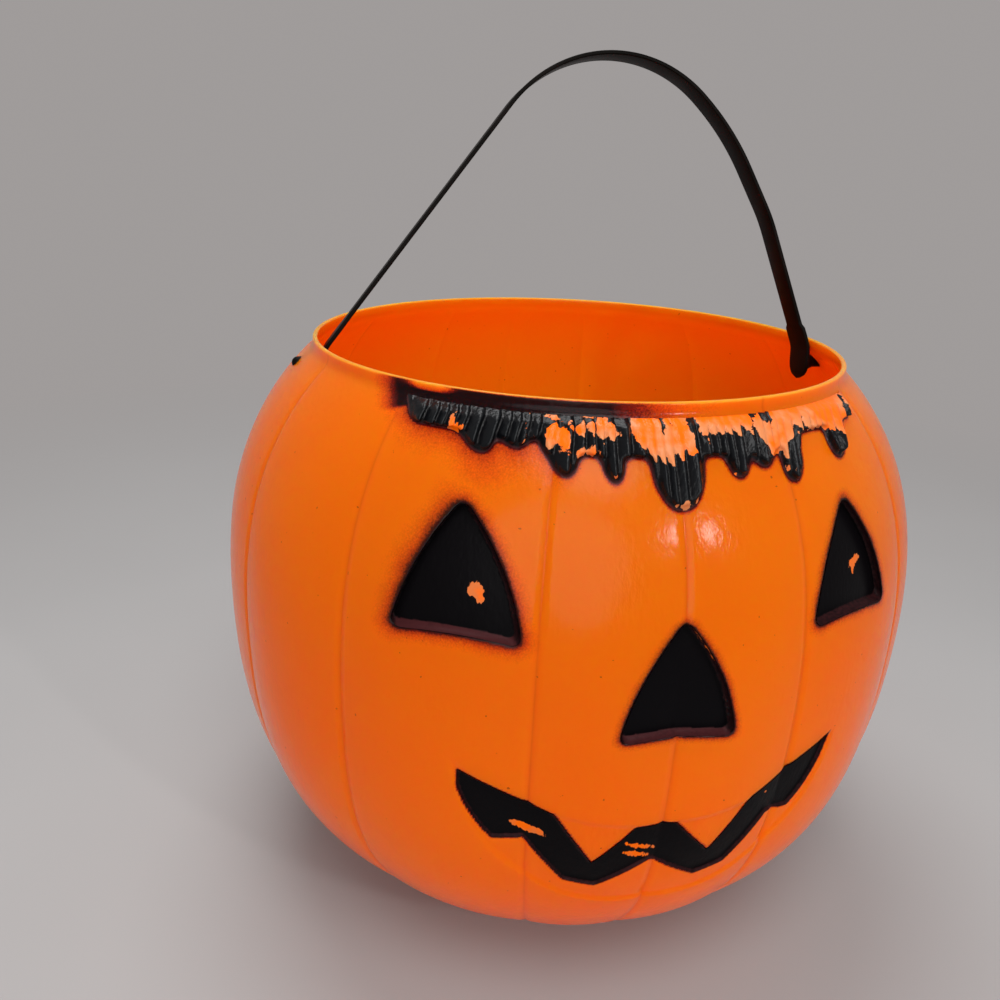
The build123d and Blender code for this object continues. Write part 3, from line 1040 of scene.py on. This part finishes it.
def lathe(profile, side, segments=36):
    """Rings of a turned form about the pivot axis, from its places along X and radii."""
    turns = np.linspace(0.0, 2 * np.pi, segments, endpoint=False)
    rings = []
    for place, radius in profile:
        height = PIVOT_HEIGHT + radius * np.sin(turns)
        rings.append(np.stack((np.full(segments, place * side), radius * np.cos(turns), height), axis=1))
    faces = ring_faces(len(profile), segments)
    if side < 0:
        faces = faces[:, ::-1]
    return np.concatenate(rings), faces


def build_strap(material):
    """The flat strap with its widened tabs and studs."""
    route = rounded_route(ROUTE, ROUTE_ROUNDINGS)
    tangent = np.gradient(route, axis=0)
    tangent /= np.linalg.norm(tangent, axis=1)[:, None]
    normals = np.stack((-tangent[:, 1], tangent[:, 0]), axis=1)
    corners = strap_corners()
    count = len(corners)
    ribbon = []
    for place, normal, width in zip(route, normals, strap_half_width(route[:, 1])):
        edge = min(STRAP_EDGE, width / 2) / STRAP_EDGE
        for sign_across, sign_thick, across_bit, thick_bit in corners:
            across = sign_across * (width - STRAP_EDGE * edge) + across_bit * edge
            off = sign_thick * (STRAP_THICKNESS / 2 - STRAP_EDGE) + thick_bit
            spot = place + normal * off
            ribbon.append(strap_point(spot[0], spot[1], across))
    faces = ring_faces(len(route), count).tolist()
    faces.append(list(range(count))[::-1])
    faces.append(list(range(len(ribbon) - count, len(ribbon))))
    points = [np.array(ribbon)]
    total = len(ribbon)
    for side in (1, -1):
        stud_points, stud_faces = lathe(stud_profile(), side)
        points.append(stud_points)
        faces += (stud_faces + total).tolist()
        total += len(stud_points)
    strap = add_piece("strap", np.concatenate(points), faces, "handle", material)
    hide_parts("handle_strap")


# Materials
class Nodes:
    """A node material with a principled shader, and short calls to add nodes to it."""

    def __init__(self, name):
        self.material = bpy.data.materials.new(name)
        self.material.use_nodes = True
        self.tree = self.material.node_tree
        self.shader = self.tree.nodes["Principled BSDF"]

    def add(self, kind, **settings):
        """A new node with some of its settings."""
        node = self.tree.nodes.new(kind)
        for key, value in settings.items():
            setattr(node, key, value)
        return node

    def link(self, source, target):
        """A link from one socket to another."""
        self.tree.links.new(source, target)

    def value(self, node, key, number):
        """An input that takes either a link or a constant; a colour gets its alpha."""
        if isinstance(number, bpy.types.NodeSocket):
            self.link(number, node.inputs[key])
        elif isinstance(number, tuple):
            node.inputs[key].default_value = (*number, 1.0)
        else:
            node.inputs[key].default_value = number

    def math(self, operation, first, second=0.0, clamp=False):
        """The result of a sum."""
        node = self.add("ShaderNodeMath", operation=operation, use_clamp=clamp)
        self.value(node, 0, first)
        self.value(node, 1, second)
        return node.outputs[0]

    def scaled(self, source, factor):
        """A number times a factor."""
        return self.math("MULTIPLY", source, factor)

    def noise(self, scale, detail=3.0, stretch=(1.0, 1.0, 1.0)):
        """Noise in the object's own frame, about one half."""
        place = self.add("ShaderNodeTexCoord").outputs["Object"]
        mapping = self.add("ShaderNodeMapping")
        mapping.inputs["Scale"].default_value = stretch
        self.link(place, mapping.inputs["Vector"])
        node = self.add("ShaderNodeTexNoise")
        node.inputs["Scale"].default_value = scale
        node.inputs["Detail"].default_value = detail
        self.link(mapping.outputs["Vector"], node.inputs["Vector"])
        return node.outputs["Fac"]

    def signed_noise(self, scale, detail=3.0, stretch=(1.0, 1.0, 1.0)):
        """Noise about nothing."""
        return self.math("SUBTRACT", self.noise(scale, detail, stretch), 0.5)

    def field(self, key):
        """A value that the piece's points hold."""
        return self.add("ShaderNodeAttribute", attribute_name=key).outputs["Fac"]

    def ramp(self, source, *stops):
        """Colours that a number passes through, as places and colours."""
        node = self.add("ShaderNodeValToRGB")
        elements = node.color_ramp.elements
        while len(elements) < len(stops):
            elements.new(0.5)
        for element, (place, colour) in zip(elements, stops):
            element.position = place
            element.color = (*colour, 1.0)
        self.link(source, node.inputs["Fac"])
        return node.outputs["Color"]

    def mix(self, share, first, second):
        """A blend of two colours, which are inputs 6 and 7 and output 2 of a mix node."""
        node = self.add("ShaderNodeMix", data_type="RGBA")
        self.value(node, "Factor", share)
        self.value(node, 6, first)
        self.value(node, 7, second)
        return node.outputs[2]

    def bump(self, height, strength, distance):
        """Fine relief for the shader."""
        node = self.add("ShaderNodeBump")
        node.inputs["Strength"].default_value = strength
        node.inputs["Distance"].default_value = distance
        self.link(height, node.inputs["Height"])
        self.link(node.outputs["Normal"], self.shader.inputs["Normal"])

    def set(self, **inputs):
        """Inputs of the shader, with _ for the spaces in their names."""
        for key, number in inputs.items():
            self.value(self.shader, key.replace("_", " "), number)


def shell_material():
    """Orange polyethylene that lets light in, with painted shade in its creases, a painted highlight on its
    rim, a painted brighter inside, and grains of stray paint.
    """
    look = Nodes("orange_polyethylene")
    base = look.ramp(look.noise(14.0, 2.0), (0.3, DEEP_ORANGE), (0.62, ORANGE))
    # Painted light: a brighter orange all over the inside
    base = look.mix(look.field("inner"), base, INSIDE_LIT_ORANGE)
    # Painted highlight on the lip's top
    base = look.mix(look.field("rim"), base, LIP_HIGHLIGHT_ORANGE)
    # Painted shade along the creases' valleys
    base = look.mix(look.scaled(look.field("painted_crease_shade"), 0.35), base, CREASE_SHADE_COLOUR)
    speck = look.ramp(look.noise(700.0, 1.0), (0.2, WHITE), (0.215, BLACK))
    base = look.mix(look.scaled(speck, 0.7), base, SPECK)

    # Half-covered places are grainy, bare and covered ones are not
    spray = look.field("spray")
    grain = look.scaled(look.signed_noise(2200.0, 2.0), 0.7)
    cloud = look.scaled(look.signed_noise(170.0, 3.0), 0.5)
    scatter = look.math("ADD", grain, cloud)
    covered = look.math("MULTIPLY", spray, look.math("SUBTRACT", 1.0, spray))
    loose = look.math("MULTIPLY", covered, 3.0, clamp=True)
    density = look.math("ADD", spray, look.math("MULTIPLY", scatter, loose), clamp=True)
    tint = look.ramp(density, (0.1, BLACK), (0.5, (0.7, 0.7, 0.7)), (0.75, WHITE))
    dark = look.ramp(density, (0.4, DARK_RED), (0.7, BROWN), (0.95, PAINT))

    rough = look.math("ADD", look.scaled(look.noise(60.0, 4.0), 0.12), 0.12)
    look.set(Base_Color=look.mix(tint, base, dark), Roughness=rough, Specular_IOR_Level=0.08)
    look.set(Subsurface_Weight=1.0, Subsurface_Scale=0.016, Coat_Weight=0.04, Coat_Roughness=0.1)
    look.shader.inputs["Subsurface Radius"].default_value = (1.0, 0.3, 0.05)
    ripple = look.scaled(look.noise(800.0, 2.0, (1.0, 1.0, 0.4)), 0.4)
    look.bump(look.math("ADD", ripple, look.noise(55.0, 2.0)), 0.42, 0.0006)
    return look.material


def paint_material(name, wear, flake, ragged_by, bare, crest_highlight, gloss, least_rough, wrinkled):
    """Black paint, plum-coloured where it is thin, with a painted highlight on the strands' crests and bare
    plastic where a field of wear is above 0.
    """
    look = Nodes(name)
    fine = look.scaled(look.signed_noise(2.6 * flake, 4.0, (1.0, 1.0, 0.4)), 1.4 * ragged_by)
    coarse = look.scaled(look.signed_noise(flake, 3.0, (1.0, 1.0, 0.6)), 1.2 * ragged_by)
    ragged = look.math("ADD", fine, coarse)
    worn = look.math("MULTIPLY", look.math("ADD", look.field(wear), ragged), 9.0, clamp=True)
    grain = look.scaled(look.signed_noise(1100.0, 2.0), 0.7)
    film = look.math("ADD", look.field("film"), grain, clamp=True)
    # Painted highlight on the strands' crests and painted shade in their grooves
    full = look.mix(look.field("ridge"), PAINT, crest_highlight)
    painted = look.mix(look.ramp(film, (0.1, BLACK), (0.8, WHITE)), PLUM, full)
    scuffed = look.math("ADD", look.noise(160.0, 3.0), look.scaled(look.field(wear), -0.06))
    plastic = look.ramp(scuffed, (0.36, ORANGE), (0.56, bare))
    rough = look.math("ADD", look.scaled(look.noise(300.0, 3.0), 0.2), least_rough)
    look.set(Base_Color=look.mix(worn, painted, plastic), Roughness=rough, Specular_IOR_Level=gloss)
    scratches = look.noise(900.0, 3.0, (1.0, 1.0, 0.45))
    look.bump(look.math("SUBTRACT", scratches, look.scaled(worn, 0.6)), wrinkled, 0.0004)
    return look.material


def strap_material():
    """Satin black polyethylene, faintly streaked along the strap."""
    look = Nodes("black_polyethylene")
    streaks = look.noise(90.0, 4.0, (0.4, 1.0, 1.0))
    rough = look.math("ADD", look.scaled(look.noise(240.0, 3.0, (0.3, 1.0, 1.0)), 0.2), 0.3)
    look.set(Base_Color=look.ramp(streaks, (0.3, STRAP_DARK), (0.75, STRAP_LIGHT)), Roughness=rough)
    look.set(Specular_IOR_Level=0.03)
    look.bump(look.noise(600.0, 2.0, (0.2, 1.0, 1.0)), 0.12, 0.0003)
    return look.material


def seen_directly(tree):
    """One for the rays that show the background: straight, mirrored and through clear things."""
    path = tree.nodes.new("ShaderNodeLightPath")
    seen = path.outputs["Is Camera Ray"]
    for other in ("Is Glossy Ray", "Is Transmission Ray"):
        either = tree.nodes.new("ShaderNodeMath")
        either.operation = "MAXIMUM"
        tree.links.new(seen, either.inputs[0])
        tree.links.new(path.outputs[other], either.inputs[1])
        seen = either.outputs[0]
    return seen


def blend_shaders(tree, share, first, second, output):
    """Mix two shader nodes by a share and show the mix."""
    blend = tree.nodes.new("ShaderNodeMixShader")
    for source, target in zip((share, first.outputs[0], second.outputs[0]), blend.inputs):
        tree.links.new(source, target)
    tree.links.new(blend.outputs[0], tree.nodes[output].inputs["Surface"])


def floor_material():
    """A pale sheet that fades into the plain backdrop's tone away from the pail."""
    look = Nodes("pale_floor")
    place = look.add("ShaderNodeVectorMath", operation="LENGTH")
    look.link(look.add("ShaderNodeTexCoord").outputs["Object"], place.inputs[0])
    tone = look.ramp(look.noise(6.0, 2.0), (0.3, FLOOR), (0.7, FLOOR_LIGHT))
    look.set(Base_Color=tone, Roughness=0.5, Specular_IOR_Level=0.25)
    away = look.ramp(place.outputs["Value"], (FLOOR_NEAR, BLACK), (FLOOR_FAR, WHITE))
    plain = look.add("ShaderNodeEmission")
    look.value(plain, "Color", BACKDROP)
    share = look.math("MULTIPLY", away, seen_directly(look.tree))
    blend_shaders(look.tree, share, look.shader, plain, "Material Output")
    return look.material


# Stage
def build_floor(material, sides=96):
    """A round level floor, wide enough to reach past every view."""
    turns = np.linspace(0.0, 2 * np.pi, sides, endpoint=False)
    edge = np.stack((np.cos(turns), np.sin(turns), np.zeros(sides)), axis=1) * FLOOR_RADIUS
    floor = add_mesh("floor", edge - (0.0, 0.0, FLOOR_GAP), [range(sides)], material)


def area_light(name, place, aim, size, power):
    """A soft oval light that the camera doesn't see."""
    lamp = bpy.data.lights.new(name, "AREA")
    lamp.shape = "ELLIPSE"
    lamp.size, lamp.size_y = size
    lamp.energy = power
    holder = add_object(name, lamp)
    holder.location = place
    holder.rotation_euler = (Vector(aim) - Vector(place)).to_track_quat("-Z", "Y").to_euler()
    holder.visible_camera = False


def build_world():
    """Soft light from all round, and the plain backdrop for the rays that show it."""
    world = bpy.data.worlds.new("studio")
    world.use_nodes = True
    tree = world.node_tree
    light = tree.nodes["Background"]
    light.inputs["Color"].default_value = (*SKY, 1.0)
    light.inputs["Strength"].default_value = SKY_STRENGTH
    backdrop = tree.nodes.new("ShaderNodeBackground")
    backdrop.inputs["Color"].default_value = (*BACKDROP, 1.0)
    blend_shaders(tree, seen_directly(tree), light, backdrop, "World Output")
    bpy.context.scene.world = world
    bpy.context.scene.view_settings.view_transform = "Standard"


def place_camera():
    """The camera at the photograph's place."""
    level = Vector(CAMERA_FORWARD).to_track_quat("-Z", "Y").to_matrix()
    turn = level @ Matrix.Rotation(CAMERA_ROLL, 3, "Z")
    lens = bpy.data.cameras.new("camera")
    lens.sensor_width = SENSOR
    lens.sensor_fit = "HORIZONTAL"
    lens.lens = CAMERA_LENS
    lens.clip_start = CAMERA_NEAR
    camera = add_object("camera", lens)
    camera.matrix_world = Matrix.Translation(CAMERA_PLACE) @ turn.to_4x4()
    bpy.context.scene.camera = camera


build_shell(shell_material())
face_paint = paint_material(
    "worn_face_paint", wear="chip", flake=480.0, ragged_by=1.2, bare=SCUFFED, crest_highlight=PAINT,
    gloss=0.04, least_rough=0.26, wrinkled=0.2,
)
hair_paint = paint_material(
    "worn_hair_paint", wear="rub", flake=170.0, ragged_by=3.4, bare=PEACH, crest_highlight=HAIR_CREST_HIGHLIGHT,
    gloss=0.16, least_rough=0.12, wrinkled=0.6,
)
build_coats(face_paint, hair_paint)
build_strap(strap_material())
build_floor(floor_material())
for light in LIGHTS:
    area_light(*light)
build_world()
place_camera()
